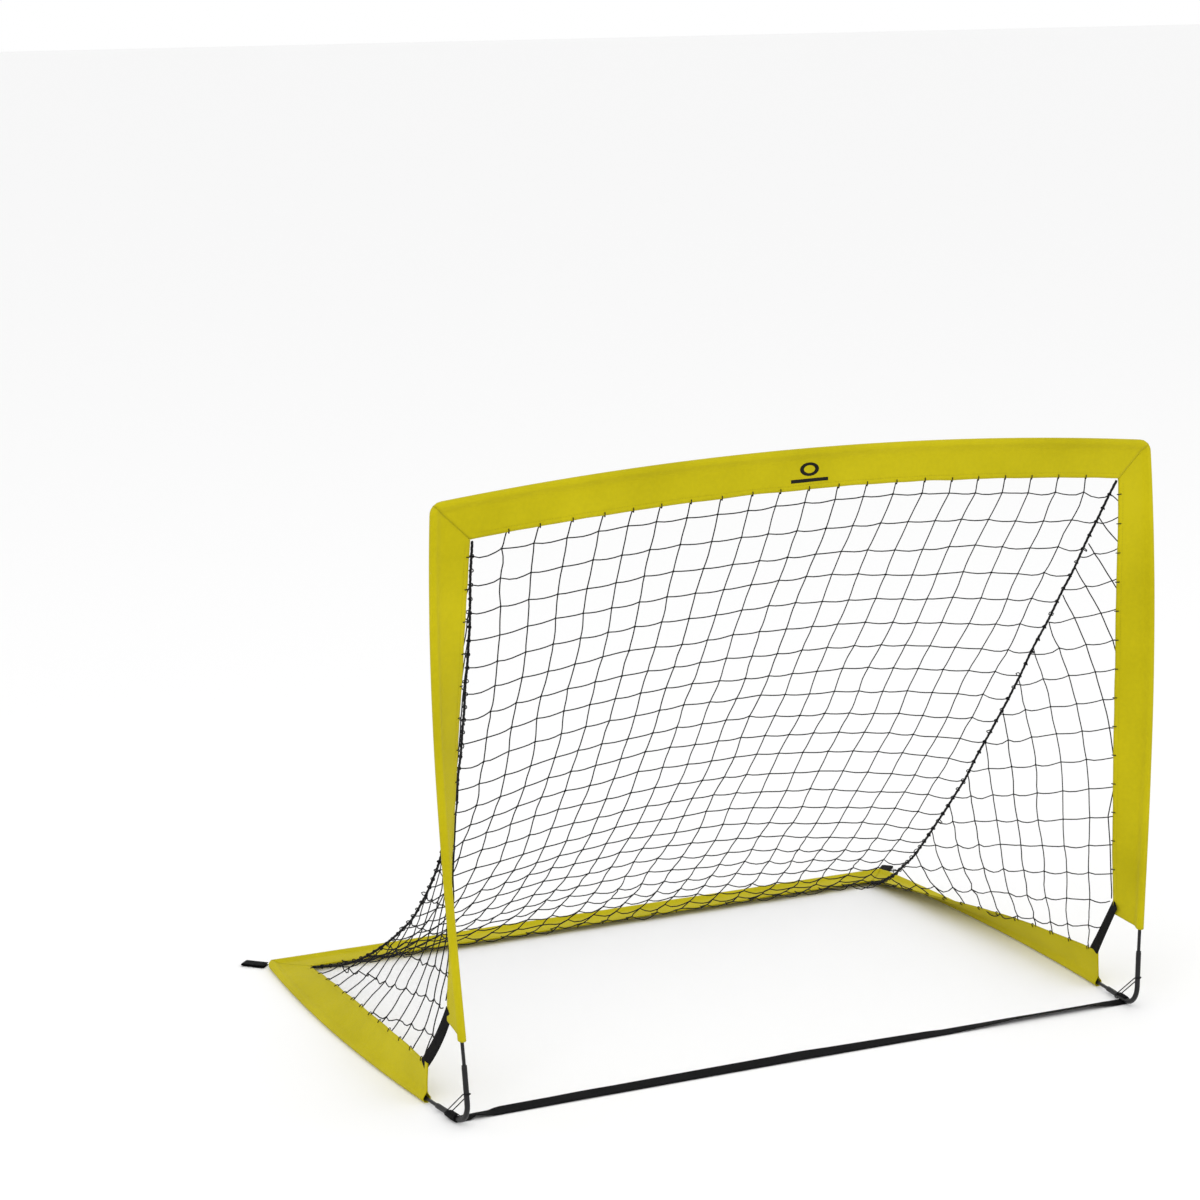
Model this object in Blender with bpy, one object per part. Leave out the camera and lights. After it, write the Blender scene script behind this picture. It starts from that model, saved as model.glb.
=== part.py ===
"""Pop up goal: a sprung rod frame in fabric sleeves, with a sagging net behind it.

Metres, +Z up. The mouth faces -Y, the goal is as deep as +Y goes, and X runs across it.
The floor is at z = 0.
"""
import math

import bmesh
import bpy
from mathutils import Matrix, Vector

# Overall sizes, measured to the axis of the frame rods
TOP_HALF = 0.586
TOP_HEIGHT = 0.8955
FOOT_HALF = 0.5706
REAR_HALF = 0.576
DEPTH = 0.818
LEAN = 0.048
CENTRE_Y = -0.01935
CROSSBAR_RISE = 0.0315
POST_BULGE = 0.019
POST_BULGE_POWER = 1.5
SIDE_BULGE = 0.022

# Rods and the bent tubes that join them
ROD_RADIUS = 0.0027
ELBOW_BORE = 0.0034
ELBOW_RADIUS = 0.0041
FRONT_LEG_UP = 0.0905
FRONT_LEG_BACK = 0.096
FRONT_BEND = 0.032
HIDDEN_LEG = 0.034
HIDDEN_BEND = 0.008
ROD_END_CLEAR = 0.013
FRONT_ROD_START = 0.040
BEND_STEPS = 6

# Fabric sleeves: a strip folded round the rod, its two plies meeting at the hem
SLEEVE_RADIUS = 0.0063
CLOTH = 0.0007
PLY_OFFSET = 0.00055
NECK = 0.012
HEM = 0.054
MITRE_GAP = 0.0004
POST_SLEEVE_LOW = 0.128
SIDE_SLEEVE_FRONT = 0.128
RAG_CUT = 0.22
REAR_TILT = math.radians(4.0)
HEM_TURN_START = 0.13
HEM_TURN_END = 0.94
SLEEVE_START = 0.08
SLEEVE_REACH = 0.06
SLEEVE_STEPS = 20

# Webbing, cords and net
WEB = 0.0014
STRAP_WIDTH = 0.020
GROUND_STRAP_WIDTH = 0.023
GROUND_STRAP_RUN = 0.0455
LOOP_RADIUS = 0.0056
WRAP_TAIL = 0.022
PEG_LOOP_LENGTH = 0.040
PEG_LOOP_WIDTH = 0.020
PEG_LOOP_SET = 0.0032
TIE_RADIUS = 0.0009
TIE_UP = 0.048
TIE_BACK = 0.063
ROPE_RADIUS = 0.0020
ROPE_SAG = Vector((0.067, 0.063, 0.104))
ROPE_SKEW = 0.37
NET_THICKNESS = 0.0016
NET_GAP = 0.0012
NET_BELLY = -0.04
NET_BELLY_SKEW = 0.4
CLEAR = 0.0003
ROPE_INSET = 0.0016
NET_RISE_SHARE = 0.9
NET_TOP_SHARE = 0.915
NET_REAR_SHARE = 0.925
FOLD_HEIGHT = 0.0912
END_SHARE = 0.02
FOLD_STEPS = 6
FOLD_OPEN = math.radians(48)
PEG_BEND_STEPS = 4
TIE_BEND_STEPS = 6
LOOP_STEPS = 8
LOOP_OPEN = math.radians(35)

FLOOR_ROD = SLEEVE_RADIUS
LEFT, RIGHT = -1, 1
SIDES = ((LEFT, "left"), (RIGHT, "right"))
POST_TURN = {LEFT: math.radians(92), RIGHT: math.radians(75)}
COLOURS = {
    "sleeve_fabric": ((0.55, 0.60, 0.02, 1.0), 0.75, 0.0),
    "rod_coating": ((0.012, 0.012, 0.013, 1.0), 0.45, 0.0),
    "elbow_paint": ((0.010, 0.010, 0.011, 1.0), 0.40, 0.0),
    "black_webbing": ((0.014, 0.014, 0.015, 1.0), 0.85, 0.0),
    "net_cord": ((0.018, 0.018, 0.019, 1.0), 0.80, 0.0),
}


def clear_scene():
    """Remove every object, so that the script builds the same thing each time."""
    for item in list(bpy.data.objects):
        bpy.data.objects.remove(item, do_unlink=True)
    goal = bpy.data.collections.new("pop_up_goal")
    bpy.context.scene.collection.children.link(goal)
    return goal


def make_material(slot):
    """A Principled material with the slot's colour, roughness and metallic value."""
    colour, roughness, metallic = COLOURS[slot]
    material = bpy.data.materials.new(slot)
    material.use_nodes = True
    shader = material.node_tree.nodes["Principled BSDF"]
    shader.inputs["Base Color"].default_value = colour
    shader.inputs["Roughness"].default_value = roughness
    shader.inputs["Metallic"].default_value = metallic
    material.diffuse_color = colour
    return material


def add_object(name, mesh_builder, slot, smooth=True):
    """Turn a bmesh into a named object that has a material of its own."""
    bmesh.ops.remove_doubles(mesh_builder, verts=mesh_builder.verts, dist=1e-6)
    bmesh.ops.recalc_face_normals(mesh_builder, faces=mesh_builder.faces)
    for face in mesh_builder.faces:
        face.smooth = smooth
    mesh = bpy.data.meshes.new(name)
    mesh_builder.to_mesh(mesh)
    mesh_builder.free()
    item = bpy.data.objects.new(name, mesh)
    material = make_material(slot)
    material.name = f"{name}_{slot}"
    mesh.materials.append(material)
    GOAL.objects.link(item)
    return item


# ---- The frame's paths ----

def mouth_point(x, z):
    """A point of the leaning mouth plane."""
    lean = LEAN * (z - FLOOR_ROD) / (TOP_HEIGHT - FLOOR_ROD)
    return Vector((x, CENTRE_Y - DEPTH / 2 + lean, z))


def post_path(side, share):
    """The rod's axis up a post: share 0 at the floor, 1 at the top corner."""
    bulge = POST_BULGE * 4 * (share ** POST_BULGE_POWER) * (1 - share)
    x = FOOT_HALF + (TOP_HALF - FOOT_HALF) * share + bulge
    return mouth_point(side * x, FLOOR_ROD + (TOP_HEIGHT - FLOOR_ROD) * share)


def crossbar_path(side, share):
    """The rod's axis along the crossbar: share 0 at this side's corner, 1 at the other."""
    x = TOP_HALF * (1 - 2 * share)
    return mouth_point(side * x, TOP_HEIGHT + CROSSBAR_RISE * 4 * share * (1 - share))


def side_path(side, share):
    """The rod's axis along a side rail: share 0 at the front, 1 at the rear corner."""
    x = FOOT_HALF + (REAR_HALF - FOOT_HALF) * share + SIDE_BULGE * 4 * share * (1 - share)
    return Vector((side * x, CENTRE_Y + DEPTH * (share - 0.5), FLOOR_ROD))


def rear_path(side, share):
    """The rod's axis along the rear rail: share 0 at this side's corner."""
    return Vector((side * REAR_HALF * (1 - 2 * share), CENTRE_Y + DEPTH / 2, FLOOR_ROD))


def tangent(path, side, share):
    """The unit direction of a path as its share grows."""
    step = 0.002
    ahead = path(side, min(share + step, 1.0))
    behind = path(side, max(share - step, 0.0))
    return (ahead - behind).normalized()


# ---- The fabric's turn round the rod: the way from the rod to the hem ----

MOUTH_NORMAL = (mouth_point(0, 1) - mouth_point(0, 0)).cross(Vector((1, 0, 0))).normalized()


def turned(share):
    """How much of its turn round the rod a sleeve has made: 0 at the front corner, 1 past it."""
    return min(max((share - HEM_TURN_START) / (HEM_TURN_END - HEM_TURN_START), 0), 1)


def post_hem(side, share):
    """Inward at the top corner; at the foot nearly straight back on the left, less so on the right."""
    turn = POST_TURN[side] * (1 - turned(share))
    inward = Vector((-side * math.cos(turn), math.sin(turn), 0))
    return across(inward, tangent(post_path, side, share))


def crossbar_hem(side, share):
    """Downward in the mouth plane all the way along."""
    along = tangent(crossbar_path, side, share)
    return across(mouth_point(0, 0) - mouth_point(0, 1), along)


def side_hem(side, share):
    """Upward at the front, inward and nearly flat at the rear corner."""
    turn = (math.radians(90) - REAR_TILT) * turned(share)
    upward = Vector((-side * math.sin(turn), 0, math.cos(turn)))
    return across(upward, tangent(side_path, side, share))


def rear_hem(side, share):
    """Inward over the floor, tilted up a little."""
    return Vector((0, -math.cos(REAR_TILT), math.sin(REAR_TILT)))


def across(direction, along):
    """The part of a direction that is square to a path, as a unit vector."""
    return (direction - along * direction.dot(along)).normalized()


# ---- Lofts ----

def loft(sections, closed_path=False, outward=None):
    """A skin over closed sections of equal point count, capped unless the path closes.

    outward says, for each edge of a section, whether it runs away from the rod. It makes
    both faces of a twisted strip split along the same diagonal, so that they stay apart.
    """
    builder = bmesh.new()
    rings = [[builder.verts.new(point) for point in section] for section in sections]
    count = len(rings[0])
    pairs = list(zip(rings, rings[1:]))
    if closed_path:
        pairs.append((rings[-1], rings[0]))
    for near, far in pairs:
        for i in range(count):
            j = (i + 1) % count
            if outward is None:
                builder.faces.new((near[i], near[j], far[j], far[i]))
            elif outward[i]:
                builder.faces.new((near[i], near[j], far[j]))
                builder.faces.new((near[i], far[j], far[i]))
            else:
                builder.faces.new((near[i], near[j], far[i]))
                builder.faces.new((near[j], far[j], far[i]))
    if not closed_path:
        builder.faces.new(rings[0][::-1])
        builder.faces.new(rings[-1])
    return builder


def circle(radius, sides):
    """Points of a circle, as (a, b) pairs."""
    angles = [2 * math.pi * (i + 0.5) / sides for i in range(sides)]
    return [(radius * math.cos(t), radius * math.sin(t)) for t in angles]


def place(profile, centre, first, second):
    """A flat profile set in space by two unit vectors."""
    return [centre + first * a + second * b for a, b in profile]


def square_axes(points, hint):
    """Two unit vectors square to each point's run, turning as little as the hint allows."""
    axes = []
    for i, point in enumerate(points):
        before = points[max(i - 1, 0)]
        after = points[min(i + 1, len(points) - 1)]
        along = (after - before).normalized()
        first = across(hint, along)
        axes.append((first, along.cross(first)))
    return axes


def round_bar(points, radius, hint, sides=6):
    """A solid round bar along points."""
    profile = circle(radius, sides)
    frames = zip(points, square_axes(points, hint))
    return loft([place(profile, point, *axes) for point, axes in frames])


def tube(points, bore, radius, hint, sides=8):
    """A round tube along points, open at both ends."""
    frames = list(zip(points, square_axes(points, hint)))
    outer = [place(circle(radius, sides), point, *axes) for point, axes in frames]
    inner = [place(circle(bore, sides), point, *axes) for point, axes in frames]
    return loft(outer + inner[::-1], closed_path=True)


def strip(points, wides, width, thickness):
    """A flat strap along points: the wides point across it."""
    sections = []
    for i, (point, wide) in enumerate(zip(points, wides)):
        before = points[max(i - 1, 0)]
        after = points[min(i + 1, len(points) - 1)]
        through = across(wide, (after - before).normalized()).cross(after - before).normalized()
        edge = wide.normalized() * (width / 2)
        lift = through * (thickness / 2)
        sections.append([point + edge + lift, point - edge + lift, point - edge - lift,
                         point + edge - lift])
    return loft(sections)


def sheet(grid, thickness):
    """A closed sheet over a grid of points."""
    builder = bmesh.new()
    rows = [[builder.verts.new(point) for point in row] for row in grid]
    for low, high in zip(rows, rows[1:]):
        for i in range(len(low) - 1):
            builder.faces.new((low[i], low[i + 1], high[i + 1], high[i]))
    bmesh.ops.recalc_face_normals(builder, faces=builder.faces)
    bmesh.ops.solidify(builder, geom=builder.faces[:], thickness=thickness)
    return builder


def trim(builder, point, normal):
    """Cut off what lies beyond a plane, and close the cut."""
    everything = builder.verts[:] + builder.edges[:] + builder.faces[:]
    cut = bmesh.ops.bisect_plane(
        builder, geom=everything, plane_co=point, plane_no=normal, clear_outer=True, dist=1e-7
    )
    rim = [edge for edge in cut["geom_cut"] if isinstance(edge, bmesh.types.BMEdge)]
    bmesh.ops.holes_fill(builder, edges=rim)


# ---- Rods and elbows ----

def spread(start, stop, steps):
    """Evenly spaced shares from start to stop."""
    return [start + (stop - start) * i / steps for i in range(steps + 1)]


def share_near(path, side, distance):
    """The share of a path that lies this far from its start, over its nearly straight end."""
    return distance * END_SHARE / (path(side, END_SHARE) - path(side, 0)).length


def share_far(path, side, distance):
    """The share of a path that lies this far before its end."""
    return 1 - distance * END_SHARE / (path(side, 1) - path(side, 1 - END_SHARE)).length


def rod(name, path, side, start, stop, steps):
    """A rod along a path, between two shares of it."""
    points = [path(side, share) for share in spread(start, stop, steps)]
    hint = Vector((0, 1, 0)) if path in (crossbar_path, post_path) else Vector((0, 0, 1))
    add_object(name, round_bar(points, ROD_RADIUS, hint), "rod_coating")


def arc(start, stop, share):
    """A vector turned part of the way from start to stop, both of one length."""
    angle = start.angle(stop)
    return (start * math.sin((1 - share) * angle) + stop * math.sin(share * angle)) / math.sin(angle)


def elbow(name, corner, leg_a, leg_b, bend, lengths):
    """A bent tube: along leg a, round the bend and out along leg b."""
    half = leg_a.angle(leg_b) / 2
    setback = bend / math.tan(half)
    centre = corner + (leg_a + leg_b).normalized() * (bend / math.sin(half))
    start = corner + leg_a * setback - centre
    stop = corner + leg_b * setback - centre
    points = [corner + leg_a * lengths[0]]
    points += [centre + arc(start, stop, share) for share in spread(0, 1, BEND_STEPS)]
    points.append(corner + leg_b * lengths[1])
    add_object(name, tube(points, ELBOW_BORE, ELBOW_RADIUS, leg_a.cross(leg_b)), "elbow_paint")


def chord(path, side, distance, from_end=False):
    """The unit direction from a path's corner to its point this far along."""
    if from_end:
        return (path(side, share_far(path, side, distance)) - path(side, 1)).normalized()
    return (path(side, share_near(path, side, distance)) - path(side, 0)).normalized()


def build_frame():
    """The rods in their elbows: a mouth, and three rails on the floor."""
    for name, path, steps in (("crossbar_rod", crossbar_path, 14), ("rear_rod", rear_path, 4)):
        start = share_near(path, RIGHT, ROD_END_CLEAR)
        rod(name, path, RIGHT, start, share_far(path, RIGHT, ROD_END_CLEAR), steps)
    for side, word in SIDES:
        foot = share_near(post_path, side, FRONT_ROD_START)
        split = share_near(post_path, side, FOLD_HEIGHT)
        gap = share_near(post_path, side, CLEAR)
        rod(f"{word}_post_rod_foot", post_path, side, foot, split - gap, 2)
        rod(f"{word}_post_rod", post_path, side, split, share_far(post_path, side, ROD_END_CLEAR), 14)
        start = share_near(side_path, side, FRONT_ROD_START)
        rod(f"{word}_side_rod", side_path, side, start, share_far(side_path, side, ROD_END_CLEAR), 12)
        elbow(
            f"{word}_front_elbow", post_path(side, 0),
            chord(post_path, side, FRONT_LEG_UP), chord(side_path, side, FRONT_LEG_BACK),
            FRONT_BEND, (FRONT_LEG_UP, FRONT_LEG_BACK),
        )
        elbow(
            f"{word}_top_elbow", post_path(side, 1),
            chord(post_path, side, HIDDEN_LEG, True), chord(crossbar_path, side, HIDDEN_LEG),
            HIDDEN_BEND, (HIDDEN_LEG, HIDDEN_LEG),
        )
        elbow(
            f"{word}_rear_elbow", side_path(side, 1),
            chord(side_path, side, HIDDEN_LEG, True), chord(rear_path, side, HIDDEN_LEG),
            HIDDEN_BEND, (HIDDEN_LEG, HIDDEN_LEG),
        )


# ---- Sleeves ----

def sleeve_profile():
    """The folded strip's section: a is towards the hem, b is square to the strip."""
    ply = [(HEM, PLY_OFFSET), ((HEM + NECK) / 2, PLY_OFFSET), (NECK, PLY_OFFSET)]
    spine = list(ply)
    middle = SLEEVE_RADIUS - CLOTH / 2
    for share in spread(0, 1, FOLD_STEPS):
        angle = FOLD_OPEN + (2 * math.pi - 2 * FOLD_OPEN) * share
        spine.append((middle * math.cos(angle), middle * math.sin(angle)))
    spine += [(a, -b) for a, b in reversed(ply)]
    outer, inner = [], []
    for i, (a, b) in enumerate(spine):
        before = Vector(spine[max(i - 1, 0)])
        after = Vector(spine[min(i + 1, len(spine) - 1)])
        run = (after - before).normalized()
        outer.append((a + run.y * CLOTH / 2, b - run.x * CLOTH / 2))
        inner.append((a - run.y * CLOTH / 2, b + run.x * CLOTH / 2))
    return outer + inner[::-1]


def sleeve(name, path, hem, side, shares, cuts):
    """A folded strip swept along a rod's path, and cut by a plane at each end."""
    profile = sleeve_profile()
    outward = [after[0] > before[0] for before, after in zip(profile, profile[1:] + profile[:1])]
    sections = []
    for share in shares:
        inside = min(max(share, 0.0), 1.0)
        along = tangent(path, side, inside)
        length = (path(side, 0.51) - path(side, 0.49)).length * 50
        centre = path(side, inside) + along * (share - inside) * length
        first = hem(side, inside)
        sections.append(place(profile, centre, first, along.cross(first)))
    builder = loft(sections, outward=outward)
    for point, normal in cuts:
        trim(builder, point, normal)
    add_object(name, builder, "sleeve_fabric")


def mitre(corner, kept, other):
    """The plane between two sleeves that meet at a corner, set back from the kept one."""
    normal = (other - kept).normalized()
    return corner - normal * MITRE_GAP, normal


def build_sleeves():
    """Six sleeves: mitred at the top and rear corners, cut square or slanted at the elbows."""
    top = {side: post_path(side, 1) for side, word in SIDES}
    rear = {side: side_path(side, 1) for side, word in SIDES}
    down = {side: chord(post_path, side, HIDDEN_LEG, True) for side, word in SIDES}
    over = {side: chord(crossbar_path, side, HIDDEN_LEG) for side, word in SIDES}
    forward = {side: chord(side_path, side, HIDDEN_LEG, True) for side, word in SIDES}
    inward = {side: chord(rear_path, side, HIDDEN_LEG) for side, word in SIDES}
    cuts = [mitre(top[side], over[side], down[side]) for side, word in SIDES]
    whole = (-SLEEVE_REACH, 1 + SLEEVE_REACH)
    sleeve("crossbar_sleeve", crossbar_path, crossbar_hem, RIGHT, spread(*whole, 14), cuts)
    cuts = [mitre(rear[side], inward[side], forward[side]) for side, word in SIDES]
    sleeve("rear_sleeve", rear_path, rear_hem, RIGHT, spread(*whole, 6), cuts)
    shares = spread(SLEEVE_START, 1 + SLEEVE_REACH, SLEEVE_STEPS)
    for side, word in SIDES:
        slant = Vector((0, RAG_CUT, -1)).normalized()
        low_cut = (post_path(side, share_near(post_path, side, POST_SLEEVE_LOW)), slant)
        cuts = [low_cut, mitre(top[side], down[side], over[side])]
        sleeve(f"{word}_post_sleeve", post_path, post_hem, side, shares, cuts)
        front_cut = (
            side_path(side, share_near(side_path, side, SIDE_SLEEVE_FRONT)), Vector((0, -1, 0))
        )
        cuts = [front_cut, mitre(rear[side], forward[side], inward[side])]
        sleeve(f"{word}_side_sleeve", side_path, side_hem, side, shares, cuts)


# ---- Webbing and tie cords ----

def build_webbing():
    """A strap across each front corner, a loop at each rear corner, and the floor strap."""
    for side, word in SIDES:
        build_corner_strap(side, word)
        build_peg_loop(side, word)
        build_elbow_tie(side, word)
    build_ground_strap()


def hem_point(path, hem, side, share, past=0.0):
    """A point of the hem line, or past it by a distance."""
    return path(side, share) + hem(side, share) * (HEM + past)


def build_corner_strap(side, word):
    """From the low end of the post sleeve's hem down to the front of the side sleeve's hem."""
    high_share = share_near(post_path, side, POST_SLEEVE_LOW + HEM * RAG_CUT + STRAP_WIDTH / 2)
    low_share = share_near(side_path, side, SIDE_SLEEVE_FRONT + STRAP_WIDTH / 2)
    high = hem_point(post_path, post_hem, side, high_share, WEB / 2 + CLEAR)
    low = hem_point(side_path, side_hem, side, low_share, CLEAR)
    wide_high = -tangent(post_path, side, high_share)
    wide_low = -tangent(side_path, side, low_share)
    shares = spread(0, 1, 5)
    points = [high.lerp(low, share) for share in shares]
    wides = [wide_high.slerp(wide_low, share) for share in shares]
    builder = strip(points, wides, STRAP_WIDTH, WEB)
    add_object(f"{word}_corner_strap", builder, "black_webbing", smooth=False)


def peg_loop_root(side):
    """Where a peg loop's lower layer leaves the rear corner, just over the floor."""
    outward = Vector((side, 1, 0)).normalized()
    start = side_path(side, 1) + outward * (SLEEVE_RADIUS * math.sqrt(2) + CLEAR)
    return Vector((start.x, start.y, WEB / 2 + CLEAR))


def build_peg_loop(side, word):
    """A flat loop of webbing that lies on the floor, out past the rear corner."""
    outward = Vector((side, 1, 0)).normalized()
    low = peg_loop_root(side)
    bend = PEG_LOOP_SET / 2
    up = Vector((0, 0, 1))
    points = [low + up * PEG_LOOP_SET]
    for share in spread(0, 1, PEG_BEND_STEPS):
        turn = math.pi * (0.5 - share)
        forward = PEG_LOOP_LENGTH - bend + bend * math.cos(turn)
        points.append(low + outward * forward + up * (bend + bend * math.sin(turn)))
    points.append(low)
    builder = strip(points, [outward.cross(up)] * len(points), PEG_LOOP_WIDTH, WEB)
    add_object(f"{word}_peg_loop", builder, "black_webbing", smooth=False)


def build_elbow_tie(side, word):
    """A cord loop round an elbow's two legs, with a strand on each side of the bend."""
    corner = post_path(side, 0)
    up = chord(post_path, side, FRONT_LEG_UP)
    back = chord(side_path, side, FRONT_LEG_BACK)
    wrap = ELBOW_RADIUS + TIE_RADIUS + CLEAR
    points = []
    for leg, distance, away in ((up, TIE_UP, -back), (back, TIE_BACK, -up)):
        centre = corner + leg * distance
        across_leg = Vector((side, 0, 0)) if leg is up else Vector((-side, 0, 0))
        for share in spread(0, 1, TIE_BEND_STEPS):
            angle = math.pi * (share - 0.5)
            turned_by = across_leg * math.sin(angle) + away * math.cos(angle)
            points.append(centre + turned_by * wrap)
    profile = circle(TIE_RADIUS, 6)
    sections = []
    for i, point in enumerate(points):
        along = (points[(i + 1) % len(points)] - points[i - 1]).normalized()
        first = across(up + back, along)
        sections.append(place(profile, point, first, along.cross(first)))
    add_object(f"{word}_elbow_tie", loft(sections, closed_path=True), "net_cord")


def build_ground_strap():
    """A strap along the floor, and the wrap at each end, round a front elbow's rear leg."""
    gap = Vector((CLEAR, 0, 0))
    ends = []
    for side, word in SIDES:
        centre = side_path(side, share_near(side_path, side, GROUND_STRAP_RUN))
        points = []
        for share in spread(0, 1, LOOP_STEPS):
            angle = LOOP_OPEN + (1.5 * math.pi - LOOP_OPEN) * share
            points.append(centre + Vector((-side * math.cos(angle), 0, math.sin(angle))) * LOOP_RADIUS)
        points.append(points[-1] - Vector((side * WRAP_TAIL, 0, 0)))
        wides = [chord(side_path, side, FRONT_LEG_BACK)] * (len(points) - 2)
        wides += [Vector((0, 1, 0))] * 2
        builder = strip(points, wides, GROUND_STRAP_WIDTH, WEB)
        add_object(f"{word}_strap_wrap", builder, "black_webbing", smooth=False)
        ends.append(points[-1] - gap * side)
    points = [ends[0].lerp(ends[1], share) for share in spread(0, 1, 6)]
    builder = strip(points, [Vector((0, 1, 0))] * len(points), GROUND_STRAP_WIDTH, WEB)
    add_object("ground_strap", builder, "black_webbing", smooth=False)


# ---- Net ----

def net_corner(side, top):
    """Where the hems of two sleeves meet, a little way into the net."""
    if top:
        corner, legs = post_path(side, 1), (
            chord(post_path, side, HIDDEN_LEG, True), chord(crossbar_path, side, HIDDEN_LEG)
        )
    else:
        corner, legs = side_path(side, 1), (
            chord(side_path, side, HIDDEN_LEG, True), chord(rear_path, side, HIDDEN_LEG)
        )
    reach = (HEM + ROPE_RADIUS + ROPE_INSET) / math.sin(legs[0].angle(legs[1]) / 2)
    point = corner + (legs[0] + legs[1]).normalized() * reach
    if not top:
        point.z += HEM * math.sin(REAR_TILT)
    return point


def rope_point(side, share):
    """The sagging line of a seam rope: share 0 at the top corner, 1 at the rear corner."""
    top = net_corner(side, True)
    rear = net_corner(side, False)
    sag = 4 * share * (1 - share) * (1 + ROPE_SKEW * (2 * share - 1))
    pull = Vector((-side * ROPE_SAG.x, -ROPE_SAG.y, -ROPE_SAG.z))
    return top.lerp(rear, share) + pull * sag


def rope_beside(side, share, way):
    """The net's edge next to a rope, which lies way off from the rope's own line."""
    return rope_point(side, share) + way * (ROPE_RADIUS + NET_THICKNESS / 2 + NET_GAP)


def build_ropes():
    """The two seam ropes down the net's corners."""
    for side, word in SIDES:
        points = [rope_point(side, share) for share in spread(0, 1, 16)]
        hint = Vector((side, 0, 0))
        add_object(f"{word}_seam_rope", round_bar(points, ROPE_RADIUS, hint), "net_cord")


def build_back_net():
    """From the crossbar's hem to the rear rail's hem, between the two seam ropes."""
    grid = []
    rows, columns = 12, 12
    for v in spread(0, 1, rows):
        left = rope_beside(LEFT, v, Vector((1, 0, 0)))
        right = rope_beside(RIGHT, v, Vector((-1, 0, 0)))
        row = []
        for u in spread(0, 1, columns):
            point = left.lerp(right, u)
            bow = crossbar_lift(u) * (1 - v) * (1 - v)
            belly = NET_BELLY * 16 * u * (1 - u) * v * (1 - v) * (1 + NET_BELLY_SKEW * (2 * v - 1))
            row.append(point + Vector((0, -belly, bow - belly)))
        grid.append(row)
    add_object("back_net", sheet(grid, NET_THICKNESS), "net_cord")


def crossbar_lift(u):
    """How far the crossbar's hem stands above the line between its ends."""
    return CROSSBAR_RISE * NET_RISE_SHARE * 4 * u * (1 - u)


def front_edge(side, share):
    """The side net's front and lower edge: down the post, over the strap, along the rail."""
    post_low = share_near(post_path, side, POST_SLEEVE_LOW + HEM * RAG_CUT + STRAP_WIDTH * 1.4)
    rail_front = share_near(side_path, side, SIDE_SLEEVE_FRONT + STRAP_WIDTH * 1.4)
    if share < 0.5:
        along = NET_TOP_SHARE + (post_low - NET_TOP_SHARE) * share * 2
        return hem_point(post_path, post_hem, side, along, NET_THICKNESS + NET_GAP)
    along = rail_front + (NET_REAR_SHARE - rail_front) * (share * 2 - 1)
    return hem_point(side_path, side_hem, side, along, NET_THICKNESS + NET_GAP)


def build_side_nets():
    """Each side net runs from the post and the side rail to the seam rope."""
    for side, word in SIDES:
        grid = []
        for share in spread(0.03, 0.97, 15):
            start = front_edge(side, share)
            stop = rope_beside(side, share, (start - rope_point(side, share)).normalized())
            grid.append([start.lerp(stop, u) for u in spread(0, 1, 6)])
        add_object(f"{word}_side_net", sheet(grid, NET_THICKNESS), "net_cord")


# ---- Origins ----

def set_joint_origins():
    """Move each moving piece's origin onto its joint's axis, and leave the piece where it is."""
    fold = post_path(LEFT, share_near(post_path, LEFT, FOLD_HEIGHT))
    pivots = {name: Vector((0, fold.y, fold.z)) for name in ("crossbar_rod", "crossbar_sleeve")}
    for side, word in SIDES:
        for part in ("post_rod", "post_sleeve", "top_elbow"):
            pivots[f"{word}_{part}"] = Vector((0, fold.y, fold.z))
        pivots[f"{word}_peg_loop"] = peg_loop_root(side) + Vector((0, 0, PEG_LOOP_SET + WEB / 2))
    for name, pivot in pivots.items():
        item = bpy.data.objects[name]
        item.data.transform(Matrix.Translation(-pivot))
        item.location = pivot


GOAL = clear_scene()
build_frame()
build_sleeves()
build_webbing()
build_ropes()
build_back_net()
build_side_nets()
set_joint_origins()
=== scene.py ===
import math

import bmesh
import bpy
import numpy as np
from mathutils import Matrix, Vector, noise
from mathutils.bvhtree import BVHTree


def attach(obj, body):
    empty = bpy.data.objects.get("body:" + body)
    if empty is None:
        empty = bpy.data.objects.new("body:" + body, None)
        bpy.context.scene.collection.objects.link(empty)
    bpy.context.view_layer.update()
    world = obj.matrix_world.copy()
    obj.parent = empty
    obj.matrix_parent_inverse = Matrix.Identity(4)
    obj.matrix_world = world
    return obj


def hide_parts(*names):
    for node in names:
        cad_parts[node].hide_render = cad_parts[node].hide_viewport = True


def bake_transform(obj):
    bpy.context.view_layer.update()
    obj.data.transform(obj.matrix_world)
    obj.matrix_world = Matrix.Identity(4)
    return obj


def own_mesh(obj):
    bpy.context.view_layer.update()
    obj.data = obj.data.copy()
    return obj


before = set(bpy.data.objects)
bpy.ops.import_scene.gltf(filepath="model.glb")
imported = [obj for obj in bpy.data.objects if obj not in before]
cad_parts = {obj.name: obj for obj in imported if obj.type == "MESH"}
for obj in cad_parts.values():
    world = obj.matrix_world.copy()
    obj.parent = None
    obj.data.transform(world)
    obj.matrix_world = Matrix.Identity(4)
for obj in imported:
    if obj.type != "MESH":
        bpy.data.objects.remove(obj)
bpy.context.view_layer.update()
print("frame loaded:", len(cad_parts), "nodes")

# camera, floor and light

cameraSet = {
    "place": (-2.276, -4.525, 1.729),
    "back": (-0.4359, -0.8658, 0.2458),  # from what it looks at, back to the camera
    "lens": 99.1,
    "shift": (-0.0771, 0.0983),
}
lightSet = {"world": 1.0, "keyPower": 90, "keyPlace": (-3.2, -4.4, 5.2), "keySize": 3.5,
            "fillPower": 25, "fillPlace": (4.6, -2.8, 3.4), "fillSize": 4.0}


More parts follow.
